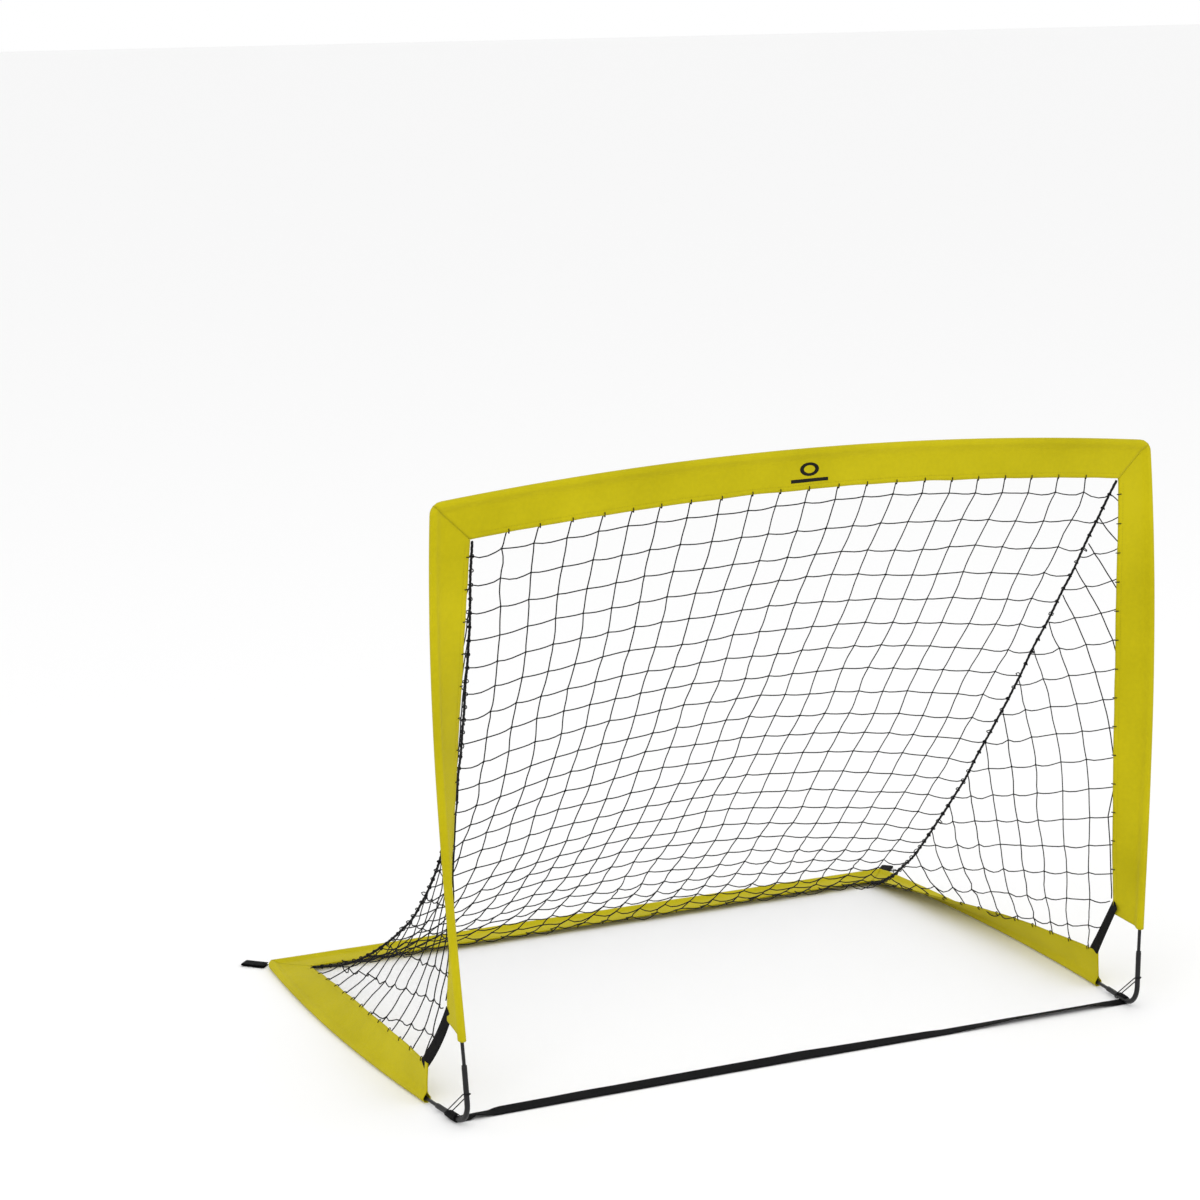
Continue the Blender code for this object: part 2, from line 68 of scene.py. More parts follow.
def makeCamera():
    data = bpy.data.cameras.new("goalCamera")
    data.lens, data.sensor_width = cameraSet["lens"], 36
    data.shift_x, data.shift_y = cameraSet["shift"]
    data.clip_end = 100
    item = bpy.data.objects.new("goalCamera", data)
    item.location = cameraSet["place"]
    item.rotation_euler = Vector(cameraSet["back"]).to_track_quat("Z", "Y").to_euler()
    bpy.context.scene.collection.objects.link(item)
    bpy.context.scene.camera = item


def makeLight(name, power, place, size):
    data = bpy.data.lights.new(name, "AREA")
    data.energy, data.size = power, size
    item = bpy.data.objects.new(name, data)
    item.location = place
    item.rotation_euler = (Vector(place) - Vector((0, 0, 0.4))).to_track_quat("Z", "Y").to_euler()
    bpy.context.scene.collection.objects.link(item)


def makeStage():
    world = bpy.data.worlds.new("studio")
    bpy.context.scene.world = world
    world.use_nodes = True
    world.node_tree.nodes["Background"].inputs["Color"].default_value = (1, 1, 1, 1)
    world.node_tree.nodes["Background"].inputs["Strength"].default_value = lightSet["world"]
    makeLight("keyLight", lightSet["keyPower"], lightSet["keyPlace"], lightSet["keySize"])
    makeLight("fillLight", lightSet["fillPower"], lightSet["fillPlace"], lightSet["fillSize"])
    shape = bmesh.new()
    bmesh.ops.create_grid(shape, x_segments=8, y_segments=8, size=30)
    mesh = bpy.data.meshes.new("floor")
    shape.to_mesh(mesh)
    shape.free()
    floor = bpy.data.objects.new("floor", mesh)
    floor.location.z = -0.0006
    bpy.context.scene.collection.objects.link(floor)
    paint = bpy.data.materials.new("paleFloor")
    paint.use_nodes = True
    shader = paint.node_tree.nodes["Principled BSDF"]
    shader.inputs["Base Color"].default_value = (0.93, 0.93, 0.93, 1)
    shader.inputs["Roughness"].default_value = 0.9
    mesh.materials.append(paint)
    bpy.context.scene.view_settings.view_transform = "Standard"


makeCamera()
makeStage()
print("camera, light and floor ready")

# the goal's own lines, as the frame has them

goal = {
    "topHalf": 0.586, "topHeight": 0.8955, "footHalf": 0.5706, "rearHalf": 0.576, "depth": 0.818,
    "lean": 0.048, "centreY": -0.01935, "crossbarRise": 0.0315, "postBulge": 0.019, "sideBulge": 0.022,
    "floorRod": 0.0063, "foldHeight": 0.0912, "frontBend": 0.032, "frontLegs": (0.0905, 0.096),
    "postTurn": {-1: 92, 1: 75}, "postFoot": 0.128, "footSlant": 0.22, "sideFront": 0.128,
}
sideWords = ((-1, "left"), (1, "right"))


def mouthPoint(x, z):
    rise = (z - goal["floorRod"]) / (goal["topHeight"] - goal["floorRod"])
    return Vector((x, goal["centreY"] - goal["depth"] / 2 + goal["lean"] * rise, z))


def postPath(side, t):
    x = goal["footHalf"] + (goal["topHalf"] - goal["footHalf"]) * t
    x += goal["postBulge"] * 4 * max(t, 0) ** 1.5 * (1 - t)
    return mouthPoint(side * x, goal["floorRod"] + (goal["topHeight"] - goal["floorRod"]) * t)


def crossbarPath(side, t):
    return mouthPoint(side * goal["topHalf"] * (1 - 2 * t),
                      goal["topHeight"] + goal["crossbarRise"] * 4 * t * (1 - t))


def sidePath(side, t):
    x = goal["footHalf"] + (goal["rearHalf"] - goal["footHalf"]) * t + goal["sideBulge"] * 4 * t * (1 - t)
    return Vector((side * x, goal["centreY"] + goal["depth"] * (t - 0.5), goal["floorRod"]))


def rearPath(side, t):
    return Vector((side * goal["rearHalf"] * (1 - 2 * t),
                   goal["centreY"] + goal["depth"] / 2, goal["floorRod"]))


def along(path, side, t):
    return (path(side, min(t + 0.002, 1)) - path(side, max(t - 0.002, 0))).normalized()


def squareTo(way, run):
    return (way - run * way.dot(run)).normalized()


def turned(t):
    return min(max((t - 0.13) / 0.81, 0), 1)


def postHem(side, t):
    turn = math.radians(goal["postTurn"][side]) * (1 - turned(t))
    return squareTo(Vector((-side * math.cos(turn), math.sin(turn), 0)), along(postPath, side, t))


def crossbarHem(side, t):
    return squareTo(mouthPoint(0, 0) - mouthPoint(0, 1), along(crossbarPath, side, t))


def sideHem(side, t):
    turn = math.radians(86) * turned(t)
    return squareTo(Vector((-side * math.sin(turn), 0, math.cos(turn))), along(sidePath, side, t))


def rearHem(side, t):
    return Vector((0, -math.cos(math.radians(4)), math.sin(math.radians(4))))


def shareAt(path, side, distance):
    return distance * 0.02 / (path(side, 0.02) - path(side, 0)).length


def leg(path, side, distance, fromEnd=False):
    share = shareAt(path, side, distance)
    if fromEnd:
        share = 1 - distance * 0.02 / (path(side, 1) - path(side, 0.98)).length
        return (path(side, share) - path(side, 1)).normalized()
    return (path(side, share) - path(side, 0)).normalized()


foldAxis = postPath(-1, shareAt(postPath, -1, goal["foldHeight"]))


# shapes

def finishPiece(name, shape, paint, smooth=True):
    for face in shape.faces:
        face.smooth = smooth
    mesh = bpy.data.meshes.new(name)
    shape.to_mesh(mesh)
    shape.free()
    mesh.materials.append(paint)
    item = bpy.data.objects.new(name, mesh)
    bpy.context.scene.collection.objects.link(item)
    return item


def skin(shape, rings, closedPath=False, uv=None):
    # quads between rings of points, with end caps; uv gives (along, across) in metres
    layer = shape.loops.layers.uv.verify() if uv else None
    corners = [[shape.verts.new(p) for p in ring] for ring in rings]
    count = len(corners[0])
    pairs = [(i, (i + 1) % len(corners)) for i in range(len(corners) - (0 if closedPath else 1))]
    for i, j in pairs:
        for k in range(count):
            m = (k + 1) % count
            face = shape.faces.new((corners[i][k], corners[i][m], corners[j][m], corners[j][k]))
            if uv:
                spots = (uv[i][k], uv[i][m], uv[j][m], uv[j][k])
                for loop, spot in zip(face.loops, spots):
                    loop[layer].uv = spot
    if not closedPath:
        shape.faces.new(corners[0][::-1])
        shape.faces.new(corners[-1])
    return shape


def frames(points, hint):
    # two directions square to the line at each of its points
    turned, last = [], hint
    for i, point in enumerate(points):
        run = (points[min(i + 1, len(points) - 1)] - points[max(i - 1, 0)]).normalized()
        last = squareTo(last, run)
        turned.append((last, run.cross(last)))
    return turned


def pipe(shape, points, radius, sides, hint, closed=False, twist=0, ridge=0):
    # a round bar; twist and ridge give it the strands of a laid rope
    rings, travelled = [], 0
    for i, (point, (one, two)) in enumerate(zip(points, frames(points, hint))):
        travelled += (point - points[i - 1]).length if i else 0
        wide = radius(travelled) if callable(radius) else radius
        ring = []
        for k in range(sides):
            angle = 2 * math.pi * k / sides
            r = wide * (1 + ridge * math.cos(3 * angle - twist * travelled))
            ring.append(point + one * (r * math.cos(angle)) + two * (r * math.sin(angle)))
        rings.append(ring)
    return skin(shape, rings, closed)


def band(shape, points, wides, width, thick, steps=6):
    # a flat strap with soft edges
    rings, spots, travelled = [], [], 0
    outline = [(-0.5 + k / steps, 1) for k in range(steps + 1)]
    outline += [(0.5 - k / steps, -1) for k in range(steps + 1)]
    for i, (point, wide) in enumerate(zip(points, wides)):
        travelled += (point - points[i - 1]).length if i else 0
        run = (points[min(i + 1, len(points) - 1)] - points[max(i - 1, 0)]).normalized()
        wide = squareTo(wide, run)
        through = wide.cross(run)
        ring, spot = [], []
        for a, b in outline:
            edge = thick / 2 * (0.45 if abs(a) > 0.49 else 1)
            ring.append(point + wide * (a * width) + through * (b * edge))
            spot.append((travelled, a * width + (0.1 if b < 0 else 0)))
        rings.append(ring)
        spots.append(spot)
    return skin(shape, rings, uv=spots)


def wander(point, scale, amount, seed=0):
    # a smooth random push; no seed is set, so noise_vector gives another one on each run
    return noise.noise_vector(Vector(point) * scale + Vector((seed * 7.3, seed * 3.1, seed))) * amount


# materials

def addGroup(name, inputs, outputs):
    group = bpy.data.node_groups.new(name, "ShaderNodeTree")
    for label, kind, value in inputs:
        socket = group.interface.new_socket(name=label, in_out="INPUT", socket_type=kind)
        socket.default_value = value
    for label, kind in outputs:
        group.interface.new_socket(name=label, in_out="OUTPUT", socket_type=kind)
    return group, group.nodes.new("NodeGroupInput"), group.nodes.new("NodeGroupOutput")


def mathNode(tree, kind, one, two=None):
    node = tree.nodes.new("ShaderNodeMath")
    node.operation = kind
    for socket, value in zip(node.inputs, (one, two)):
        if isinstance(value, (int, float)):
            socket.default_value = value
        elif value is not None:
            tree.links.new(value, socket)
    return node.outputs[0]


def makeWeaveGroup():
    # crossing threads, from the piece's own along and across lengths; the second output is painted shade in
    # the hollows between threads
    group, enter, leave = addGroup(
        "threadWeave",
        [("Threads per metre", "NodeSocketFloat", 900.0), ("Rib", "NodeSocketFloat", 0.5)],
        [("Height", "NodeSocketFloat"), ("Hollow shade", "NodeSocketFloat")],
    )
    spot = group.nodes.new("ShaderNodeUVMap")
    split = group.nodes.new("ShaderNodeSeparateXYZ")
    group.links.new(spot.outputs[0], split.inputs[0])
    turns = mathNode(group, "MULTIPLY", enter.outputs["Threads per metre"], 2 * math.pi)
    warp = mathNode(group, "SINE", mathNode(group, "MULTIPLY", split.outputs[0], turns))
    weft = mathNode(group, "SINE", mathNode(group, "MULTIPLY", split.outputs[1], turns))
    cross = mathNode(group, "MULTIPLY", warp, weft)
    ribbed = mathNode(group, "MULTIPLY", mathNode(group, "ABSOLUTE", weft), enter.outputs["Rib"])
    height = mathNode(group, "ADD", mathNode(group, "MULTIPLY", cross, 0.5), ribbed)
    group.links.new(height, leave.inputs["Height"])
    # painted shade: the lower the weave, the darker
    group.links.new(mathNode(group, "SUBTRACT", 0.5, height), leave.inputs["Hollow shade"])
    return group


def makePatchGroup():
    # broad uneven tone and a fine speckle
    group, enter, leave = addGroup(
        "unevenTone",
        [("Broad scale", "NodeSocketFloat", 6.0), ("Fine scale", "NodeSocketFloat", 140.0)],
        [("Broad", "NodeSocketFloat"), ("Fine", "NodeSocketFloat")],
    )
    spot = group.nodes.new("ShaderNodeTexCoord")
    for label, source in (("Broad", "Broad scale"), ("Fine", "Fine scale")):
        tone = group.nodes.new("ShaderNodeTexNoise")
        tone.inputs["Detail"].default_value = 4
        group.links.new(spot.outputs["Object"], tone.inputs["Vector"])
        group.links.new(enter.outputs[source], tone.inputs["Scale"])
        group.links.new(tone.outputs["Fac"], leave.inputs[label])
    return group


weaveGroup = makeWeaveGroup()
patchGroup = makePatchGroup()

paints = {
    "sleeveFabric": dict(dark=(0.455, 0.39, 0.001), light=(0.56, 0.48, 0.004),
                         rough=(0.75, 0.9), sheen=0.04, shine=0.12,
                         threads=900, rib=0.15, bump=0.00022, broad=7, fine=160),
    "webbing": dict(dark=(0.0025, 0.0025, 0.003), light=(0.007, 0.007, 0.008),
                    rough=(0.7, 0.9), sheen=0.0, shine=0.10,
                    threads=620, rib=1.0, bump=0.0005, broad=30, fine=500),
    "netCord": dict(dark=(0.003, 0.003, 0.0035), light=(0.009, 0.009, 0.010),
                    rough=(0.6, 0.85), sheen=0.0, shine=0.15,
                    threads=0, rib=0, bump=0.0003, broad=60, fine=900),
    "thread": dict(dark=(0.30, 0.26, 0.001), light=(0.42, 0.36, 0.003),
                   rough=(0.5, 0.7), sheen=0.0, shine=0.2,
                   threads=0, rib=0, bump=0.0002, broad=60, fine=900),
    "rodCoating": dict(dark=(0.003, 0.003, 0.004), light=(0.008, 0.008, 0.009),
                       rough=(0.30, 0.48), sheen=0.0, shine=0.3,
                       threads=0, rib=0, bump=0.0001, broad=40, fine=700),
    "tubePaint": dict(dark=(0.003, 0.003, 0.0035), light=(0.009, 0.009, 0.010),
                      rough=(0.34, 0.52), sheen=0.0, shine=0.3,
                      threads=0, rib=0, bump=0.0002, broad=50, fine=1200),
    "printInk": dict(dark=(0.003, 0.003, 0.002), light=(0.009, 0.009, 0.006),
                     rough=(0.5, 0.7), sheen=0.0, shine=0.15,
                     threads=0, rib=0, bump=0.0002, broad=50, fine=900),
}


def makePaint(name):
    look = paints[name]
    paint = bpy.data.materials.new(name)
    paint.use_nodes = True
    tree = paint.node_tree
    shader = tree.nodes["Principled BSDF"]
    patch = tree.nodes.new("ShaderNodeGroup")
    patch.node_tree = patchGroup
    patch.inputs["Broad scale"].default_value = look["broad"]
    patch.inputs["Fine scale"].default_value = look["fine"]
    tones = mathNode(tree, "ADD", mathNode(tree, "MULTIPLY", patch.outputs["Broad"], 0.75),
                     mathNode(tree, "MULTIPLY", patch.outputs["Fine"], 0.25))
    height = patch.outputs["Fine"]
    if look["threads"]:
        weave = tree.nodes.new("ShaderNodeGroup")
        weave.node_tree = weaveGroup
        weave.inputs["Threads per metre"].default_value = look["threads"]
        weave.inputs["Rib"].default_value = look["rib"]
        # painted shade: the weave's hollows are darkened in the base colour
        tones = mathNode(tree, "SUBTRACT", tones, mathNode(tree, "MULTIPLY", weave.outputs["Hollow shade"], 0.10))
        height = mathNode(tree, "ADD", weave.outputs["Height"], mathNode(tree, "MULTIPLY", height, 0.4))
    ramp = tree.nodes.new("ShaderNodeValToRGB")
    ramp.color_ramp.elements[0].position, ramp.color_ramp.elements[1].position = 0.30, 0.62
    ramp.color_ramp.elements[0].color = (*look["dark"], 1)
    ramp.color_ramp.elements[1].color = (*look["light"], 1)
    tree.links.new(tones, ramp.inputs["Fac"])
    tree.links.new(ramp.outputs["Color"], shader.inputs["Base Color"])
    gloss = tree.nodes.new("ShaderNodeMapRange")
    gloss.inputs["To Min"].default_value, gloss.inputs["To Max"].default_value = look["rough"]
    tree.links.new(patch.outputs["Fine"], gloss.inputs["Value"])
    tree.links.new(gloss.outputs["Result"], shader.inputs["Roughness"])
    bump = tree.nodes.new("ShaderNodeBump")
    bump.inputs["Distance"].default_value = look["bump"]
    tree.links.new(height, bump.inputs["Height"])
    tree.links.new(bump.outputs["Normal"], shader.inputs["Normal"])
    shader.inputs["Sheen Weight"].default_value = look["sheen"]
    shader.inputs["Specular IOR Level"].default_value = look["shine"]
    shader.inputs["Sheen Roughness"].default_value = 0.5
    return paint


made = {name: makePaint(name) for name in paints}
print("materials ready")

# fabric sleeves

sleeveLook = {
    "radius": 0.0063, "cloth": 0.0006, "ply": 0.0006, "neck": 0.012, "hem": 0.054,
    "plySteps": 9, "foldSteps": 12, "stations": 110, "cornerRound": 0.017, "seamGap": 0.00015,
    "wrinkle": 0.0016, "wrinkleScale": 9.0, "keep": 0.62,
    "stitch": 0.0028, "stitchGap": 0.0042, "stitchIn": 0.0075,
}
runs = {
    "crossbar": dict(path=crossbarPath, hem=crossbarHem, length=1.175, corners=(True, True)),
    "post": dict(path=postPath, hem=postHem, length=0.89, corners=(False, True)),
    "side": dict(path=sidePath, hem=sideHem, length=0.82, corners=(False, True)),
    "rear": dict(path=rearPath, hem=rearHem, length=1.152, corners=(True, True)),
}


def sleevePoint(kind, side, t, a, b):
    # a point of a sleeve: t along the rod, a towards the hem, b through the cloth
    run = runs[kind]
    path, look = run["path"], sleeveLook
    inside = min(max(t, 0), 1)
    way, out = along(path, side, inside), run["hem"](side, inside)
    centre = path(side, inside) + way * (t - inside) * run["length"]
    nearest = 1e9
    for corner, distance in zip(run["corners"], (t, 1 - t)):
        nearest = min(nearest, distance * run["length"] if corner else 1e9)
    rounding, soft = look["cornerRound"], min(max((0.030 - a) / 0.030, 0), 1)
    reach = min(max(nearest + look["radius"], rounding * 0.05), rounding)
    pulled = (rounding - math.sqrt(rounding ** 2 - (rounding - reach) ** 2)) * soft * soft * (3 - 2 * soft)
    still = min(max((nearest - a) / 0.05, 0), 1)
    loose = min(max((a + 0.004) / 0.03, 0.12), 1)
    crease = noise.noise(Vector((centre.x, centre.y, centre.z)) * look["wrinkleScale"]
                         + Vector((a * 18, 0, side * 3)))
    fine = noise.noise(Vector((centre.x, centre.y, centre.z)) * 38 + Vector((a * 30, 5, side)))
    swell = (crease * look["wrinkle"] + fine * 0.0005) * still * loose
    tug = (noise.noise(Vector((centre.x, centre.y, centre.z)) * 21) * 0.0012
           * still * max((a - 0.03) / 0.024, 0))
    if kind in ("side", "rear"):
        swell = max(swell, -0.0003) if kind == "rear" else swell
    return centre + out * (a + pulled + tug) + way.cross(out) * (b + swell)


def endShare(kind, side, a, b, plane, low, high):
    # where the line (a, b) of the sleeve meets the plane of its end
    spot, normal = plane
    for _ in range(26):
        middle = (low + high) / 2
        if (sleevePoint(kind, side, middle, a, b) - spot).dot(normal) > 0:
            high = middle
        else:
            low = middle
    return (low + high) / 2


def sleeveSpine():
    look = sleeveLook
    ply = []
    for k in range(look["plySteps"] + 1):
        ply.append((look["hem"] + (look["neck"] - look["hem"]) * k / look["plySteps"], look["ply"]))
    ply.append((0.0082, 0.0016))
    spine, middle, opening = list(ply), look["radius"] - look["cloth"] / 2, math.radians(52)
    for k in range(look["foldSteps"] + 1):
        angle = opening + (2 * math.pi - 2 * opening) * k / look["foldSteps"]
        spine.append((middle * math.cos(angle), middle * math.sin(angle)))
    return spine + [(a, -b) for a, b in reversed(ply)]


def sleeveEnds(kind, side):
    # the plane that ends the sleeve at each end, facing the way the rod runs
    gap = sleeveLook["seamGap"]
    if kind in ("crossbar", "rear"):
        planes = []
        for end, word in ((1, "start"), (-1, "stop")):
            if kind == "crossbar":
                corner, mine, other = (postPath(end, 1),
                                       leg(crossbarPath, end, 0.034), leg(postPath, end, 0.034, True))
            else:
                corner, mine, other = (sidePath(end, 1),
                                       leg(rearPath, end, 0.034), leg(sidePath, end, 0.034, True))
            normal = (mine - other).normalized()
            planes.append((corner + normal * gap, normal if word == "start" else -normal))
        return planes
    if kind == "post":
        foot = postPath(side, shareAt(postPath, side, goal["postFoot"]))
        first = (foot, Vector((0, -goal["footSlant"], 1)).normalized())
        corner, mine, other = (postPath(side, 1),
                               leg(postPath, side, 0.034, True), leg(crossbarPath, side, 0.034))
    else:
        first = (sidePath(side, shareAt(sidePath, side, goal["sideFront"])), Vector((0, 1, 0)))
        corner, mine, other = sidePath(side, 1), leg(sidePath, side, 0.034, True), leg(rearPath, side, 0.034)
    normal = (other - mine).normalized()
    return [first, (corner - normal * gap, normal)]


def makeSleeve(name, kind, side):
    look, spine = sleeveLook, sleeveSpine()
    first, last = sleeveEnds(kind, side)
    outer, inner = [], []
    for i, (a, b) in enumerate(spine):
        run = (Vector(spine[min(i + 1, len(spine) - 1)]) - Vector(spine[max(i - 1, 0)])).normalized()
        outer.append((a + run.y * look["cloth"] / 2, b - run.x * look["cloth"] / 2))
        inner.append((a - run.y * look["cloth"] / 2, b + run.x * look["cloth"] / 2))
    profile = outer + inner[::-1]
    spans = []
    for a, b in profile:
        spans.append((endShare(kind, side, a, b, first, -0.1, 0.4),
                      endShare(kind, side, a, b, last, 0.6, 1.1)))
    rings, spots = [], []
    for i in range(look["stations"] + 1):
        u = i / look["stations"]
        u -= 0.062 * math.sin(2 * math.pi * u)  # more stations near the ends
        ring, spot, travelled = [], [], 0
        for k, ((a, b), (t0, t1)) in enumerate(zip(profile, spans)):
            t = t0 + (t1 - t0) * u
            raised = 0
            for corner, distance in zip(runs[kind]["corners"], (t - t0, t1 - t)):
                if corner:
                    raised += 0.0007 * math.exp(-(distance * runs[kind]["length"] / 0.0022) ** 2)
            ring.append(sleevePoint(kind, side, t, a, b + math.copysign(raised, b)))
            travelled += (Vector(profile[k]) - Vector(profile[k - 1])).length if k else 0
            spot.append((t * runs[kind]["length"], travelled))
        rings.append(ring)
        spots.append(spot)
    shape = skin(bmesh.new(), rings, uv=spots)
    piece = finishPiece(name, shape, made["sleeveFabric"])
    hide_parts(name)
    thread = makeStitches(name, kind, side, spans[0])
    body = "mouth_frame" if kind in ("crossbar", "post") else "floor_frame"
    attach(piece, body)
    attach(thread, body)
    if kind == "side":  # the post sleeve's hem comes down on it; the side sleeve and its stitching get meshes of their own
        for cloth in (piece, thread):
            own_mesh(cloth)
    return piece, thread


def makeStitches(name, kind, side, span):
    # short raised threads along the hem, on both faces
    look, shape = sleeveLook, bmesh.new()
    length, step = runs[kind]["length"], sleeveLook["stitchGap"] / runs[kind]["length"]
    t = span[0] + 0.004
    while t < span[1] - 0.004 - step:
        for face in (1, -1):
            b = face * (look["ply"] + look["cloth"] / 2 + 0.00018)
            a = look["hem"] - look["stitchIn"]
            ends = [sleevePoint(kind, side, t, a, b),
                    sleevePoint(kind, side, t + look["stitch"] / length, a, b)]
            way = (ends[1] - ends[0]).normalized()
            wide = squareTo(sleevePoint(kind, side, t, a + 0.001, b) - ends[0], way)
            lift = way.cross(wide)
            middle = (ends[0] + ends[1]) / 2
            ring = [middle + wide * (0.00028 * c) + lift * (0.00028 * s)
                    for c, s in ((1, 0), (0, 1), (-1, 0), (0, -1))]
            verts = [shape.verts.new(p) for p in ring]
            tips = [shape.verts.new(p) for p in ends]
            for k in range(4):
                shape.faces.new((verts[k], verts[(k + 1) % 4], tips[1]))
                shape.faces.new((verts[(k + 1) % 4], verts[k], tips[0]))
        t += step
    return finishPiece(f"{name}_stitching", shape, made["thread"])


sleeves = {}
for name, kind, side in [("crossbar_sleeve", "crossbar", 1), ("rear_sleeve", "rear", 1)]:
    sleeves[name] = makeSleeve(name, kind, side)
for side, word in sideWords:
    sleeves[f"{word}_post_sleeve"] = makeSleeve(f"{word}_post_sleeve", "post", side)
    sleeves[f"{word}_side_sleeve"] = makeSleeve(f"{word}_side_sleeve", "side", side)
print("sleeves ready:", len(sleeves))

# how far a piece lies off the fold plane, measured and printed

def bendAtFold(piece):
    points = np.array([v.co for v in piece.data.vertices])
    angle = np.degrees(np.arctan2(points[:, 2] - foldAxis.z, points[:, 1] - foldAxis.y))
    wanted = np.clip(angle / 86.5, 0, 1)
    eased = 0.5 - np.sin(np.arcsin(1 - 2 * wanted) / 3)
    rows = np.column_stack([points[:, 1], points[:, 2], np.ones(len(points))])
    keep = np.ones(len(points), bool)
    for _ in range(8):
        fit = np.linalg.lstsq(rows[keep], eased[keep], rcond=None)[0]
        guess = rows @ fit
        keep = ~(((eased <= 0) & (guess < 0)) | ((eased >= 1) & (guess > 1)))
        if keep.sum() < 8:
            break
    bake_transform(piece)
    guess = np.clip(rows @ fit, 0, 1)
    off = np.abs(guess * guess * (3 - 2 * guess) - wanted) * math.radians(87)
    reach = np.hypot(points[:, 1] - foldAxis.y, points[:, 2] - foldAxis.z)
    print("  bends:", piece.name, "most off the fold plane", round(float((off * reach).max()), 3), "m")


# net

netLook = {
    "cord": 0.00095, "knot": 0.00175, "cell": 0.048, "acrossCells": 22, "downCells": 24, "steps": 4,
    "droop": 0.035, "wander": 0.042, "shift": 0.006, "belly": -0.04, "bellySkew": 0.4,
    "ropeSag": (0.067, 0.063, 0.104),
    "ropeSkew": 0.37, "ropeRadius": 0.0019, "hemIn": 0.0045,
    "rowSlope": (0.16, 0.40), "columnLean": (-0.38, 0.75), "sideRows": 18, "sideColumns": (-6, 15),
    "sideKeep": 0.12,
}


def netCorner(side, top):
    path, corner = (postPath, postPath(side, 1)) if top else (sidePath, sidePath(side, 1))
    one = leg(path, side, 0.034, True)
    two = leg(crossbarPath if top else rearPath, side, 0.034)
    point = corner + (one + two).normalized() * (0.0576 / math.sin(one.angle(two) / 2))
    if not top:
        point.z += 0.054 * math.sin(math.radians(4))
    return point


def ropePoint(side, t):
    sag = 4 * t * (1 - t) * (1 + netLook["ropeSkew"] * (2 * t - 1))
    x, y, z = netLook["ropeSag"]
    return netCorner(side, True).lerp(netCorner(side, False), t) + Vector((-side * x, -y, -z)) * sag


def slackAt(point):
    # how loose the net is: tight in the middle, loose by the floor, the ropes and the top corners
    low = max(0, 1 - point.z / 0.25)
    high = max(0, 1 - (Vector((abs(point.x), point.y, point.z)) - netCorner(1, True)).length / 0.16)
    edge = max(0, 1 - abs(abs(point.x) - abs(ropePoint(1, min(max(1 - point.z / 0.85, 0), 1)).x)) / 0.09)
    return 1 + 2.6 * low + 2.2 * high + 1.1 * edge


def cordBetween(one, two, seed, down):
    # the points of one cord from knot to knot, without the last
    length, points = (two - one).length, []
    for k in range(netLook["steps"]):
        u = k / netLook["steps"]
        bow = 4 * u * (1 - u)
        point = one.lerp(two, u)
        slack = slackAt(point)
        push = wander(point, 17, 1, seed) * (netLook["wander"] * length * slack * bow)
        push.z *= 0.3 if down else 1
        droop = 0 if down else netLook["droop"] * length * slack * bow
        points.append(point + push - Vector((0, 0, droop)))
    return points


def drawNet(name, cords, knots):
    data = bpy.data.curves.new(name, "CURVE")
    data.dimensions, data.bevel_depth, data.bevel_resolution = "3D", netLook["cord"], 1
    data.use_fill_caps = True
    for cord in cords:
        line = data.splines.new("POLY")
        line.points.add(len(cord) - 1)
        for spot, point in zip(line.points, cord):
            spot.co = (*point, 1)
    hidden = bpy.data.objects.new("drawn", data)
    bpy.context.scene.collection.objects.link(hidden)
    tubes = bpy.data.meshes.new_from_object(hidden.evaluated_get(bpy.context.evaluated_depsgraph_get()))
    bpy.data.objects.remove(hidden)
    shape = bmesh.new()
    shape.from_mesh(tubes)
    bpy.data.meshes.remove(tubes)
    for i, knot in enumerate(knots):
        lean = wander(knot, 90, 1, 4)
        turn = Vector((0.8, 0.5, 1)).cross(lean).to_track_quat("Z", "Y").to_matrix().to_4x4()
        size = netLook["knot"] * (0.9 + 0.25 * noise.noise(knot * 70))
        grown = Matrix.Diagonal((size, size * 0.85, size * 1.25, 1))
        bmesh.ops.create_icosphere(shape, subdivisions=1, radius=1,
                                   matrix=Matrix.Translation(knot) @ turn @ grown)
    piece = finishPiece(name, shape, made["netCord"])
    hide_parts(name)
    return piece


def hemGrip(point, out, through):
    # a turn of cord over the edge of the hem, where the net is caught in it
    turn = []
    for a, b in ((-0.0046, 0.0013), (-0.0028, 0.0017), (0.0006, 0.0015), (0.0022, 0.0004), (0.0022, -0.0004),
                 (0.0006, -0.0015), (-0.0028, -0.0017), (-0.0046, -0.0013)):
        turn.append(point + out * (a + netLook["hemIn"]) + through * b)
    return turn


def crossbarHemSpot(x, grips):
    t = (1 - x / goal["topHalf"]) / 2
    point = sleevePoint("crossbar", 1, t, 0.054 - netLook["hemIn"], 0)
    way, out = along(crossbarPath, 1, t), crossbarHem(1, t)
    grips.append(hemGrip(point, out, way.cross(out)))
    return point


def rearHemSpot(x, grips):
    t = (1 - x / goal["rearHalf"]) / 2
    point = sleevePoint("rear", 1, t, 0.054 - netLook["hemIn"], 0)
    way, out = along(rearPath, 1, t), rearHem(1, t)
    grips.append(hemGrip(point, out, way.cross(out)))
    return point


def backNode(u, v):
    left, right = ropePoint(-1, v), ropePoint(1, v)
    point = left.lerp(right, u)
    rise = goal["crossbarRise"] * 0.9 * 4 * u * (1 - u) * (1 - v) ** 2
    belly = netLook["belly"] * 16 * u * (1 - u) * v * (1 - v) * (1 + netLook["bellySkew"] * (2 * v - 1))
    point += Vector((0, -belly, rise - belly))
    inner = min(u, 1 - u) * 22
    return point + wander(point, 9, netLook["shift"] * min(inner, 1), 1)


